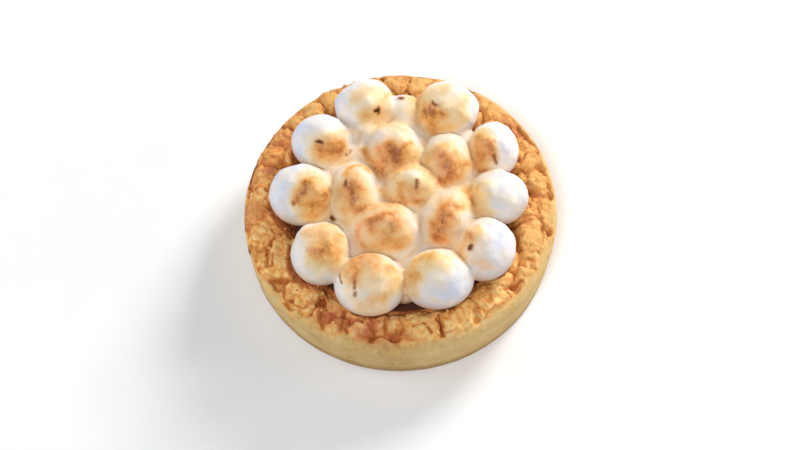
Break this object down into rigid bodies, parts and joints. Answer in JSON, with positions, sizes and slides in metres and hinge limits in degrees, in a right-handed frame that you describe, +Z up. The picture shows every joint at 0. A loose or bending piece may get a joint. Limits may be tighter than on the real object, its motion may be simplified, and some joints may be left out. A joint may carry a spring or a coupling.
{
  "type": "lemon meringue tartlet",
  "caption": "Round individual lemon meringue pie: a thick shortcrust case with a crumbly top edge, covered in torched meringue dollops that rest in its shallow well.",
  "frame": {"origin": "centre of the underside, on the surface the pie stands on", "axes": "+Z up through the meringue; -Y towards the viewer of the picture; +X to the viewer's right"},
  "size_m": [0.1002, 0.0998, 0.0366],
  "materials": {
    "shortcrust": null,
    "meringue": null
  },
  "bodies": {
    "root": {"crust": "shortcrust", "meringue_dollop_01": "meringue", "meringue_dollop_02": "meringue", "meringue_dollop_03": "meringue", "meringue_dollop_04": "meringue", "meringue_dollop_05": "meringue", "meringue_dollop_06": "meringue", "meringue_dollop_07": "meringue", "meringue_dollop_08": "meringue", "meringue_dollop_09": "meringue", "meringue_dollop_10": "meringue", "meringue_dollop_11": "meringue", "meringue_dollop_12": "meringue", "meringue_dollop_13": "meringue", "meringue_dollop_14": "meringue", "meringue_dollop_15": "meringue", "meringue_dollop_16": "meringue"}
  },
  "joints": []
}
